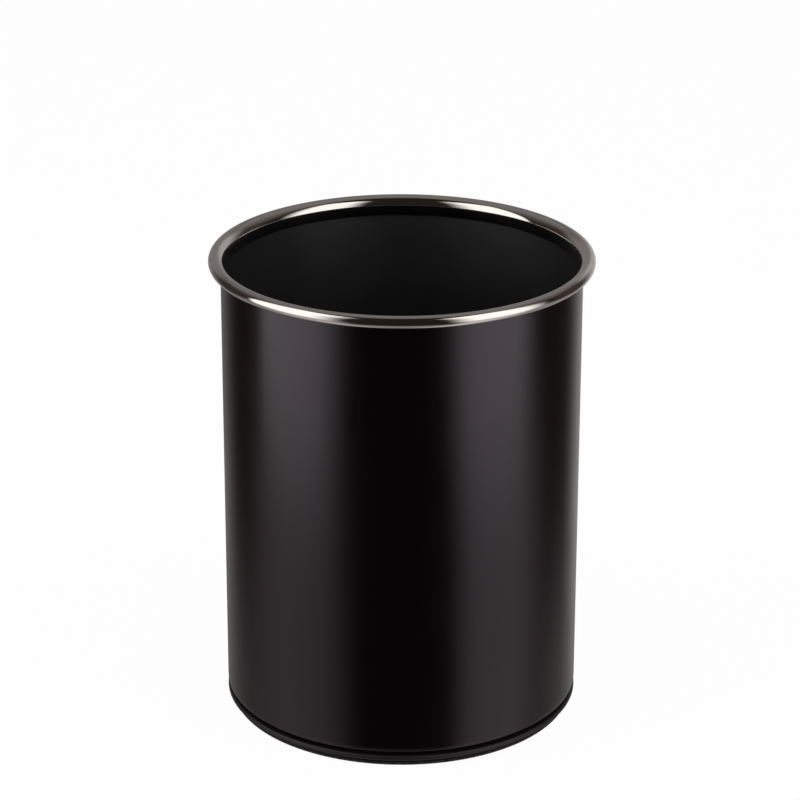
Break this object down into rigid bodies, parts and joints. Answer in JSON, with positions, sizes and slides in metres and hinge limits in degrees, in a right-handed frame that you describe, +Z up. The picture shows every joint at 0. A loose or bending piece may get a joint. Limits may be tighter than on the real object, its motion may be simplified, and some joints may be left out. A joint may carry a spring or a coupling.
{
  "type": "rotating cutlery holder",
  "caption": "Round black steel cup with a polished rolled rim that turns on a ball-bearing base and holds table cutlery upright.",
  "frame": {"origin": "centre of the pad's lower face, on the table", "axes": "+Z up along the turning axis, -Y towards the side that the picture shows"},
  "size_m": [0.1248, 0.1248, 0.1557],
  "materials": {
    "black_lacquer": "satin black lacquer",
    "base_lacquer": "fine-textured black lacquer",
    "polished_rim": "polished",
    "bearing_steel": "bright rolled",
    "zinc_plate": "zinc plated",
    "natural_nylon": "moulded, natural colour",
    "antislip_rubber": "fine-grained matt"
  },
  "bodies": {
    "base": {"base_plate": "base_lacquer", "antislip_pad": "antislip_rubber", "lower_race": "bearing_steel", "lower_race_rivets": "zinc_plate", "pivot_stud": "bearing_steel", "thrust_washer": "bearing_steel", "wave_washer": "bearing_steel", "retaining_ring": "bearing_steel"},
    "cup": {"cup_wall": "black_lacquer", "rim_ring": "polished_rim", "cup_floor": "black_lacquer", "weld_studs": "zinc_plate", "carrier_plate": "bearing_steel", "stud_lock_washers": "zinc_plate", "stud_nuts": "zinc_plate", "upper_race": "bearing_steel", "upper_race_rivets": "zinc_plate", "pivot_bush": "natural_nylon"},
    "cage": {"ball_cage": "natural_nylon", "bearing_balls": "polished_rim"}
  },
  "joints": [
    {"name": "cup_spin", "type": "hinge", "parent": "base", "child": "cup", "pos_m": [0, 0, 0], "axis": [0, 0, 1], "continuous": true},
    {"name": "cage_orbit", "type": "hinge", "parent": "base", "child": "cage", "pos_m": [0, 0, 0], "axis": [0, 0, 1], "continuous": true}
  ],
  "couplings": [
    {"joint": "cage_orbit", "follows": "cup_spin", "ratio": 0.5}
  ]
}
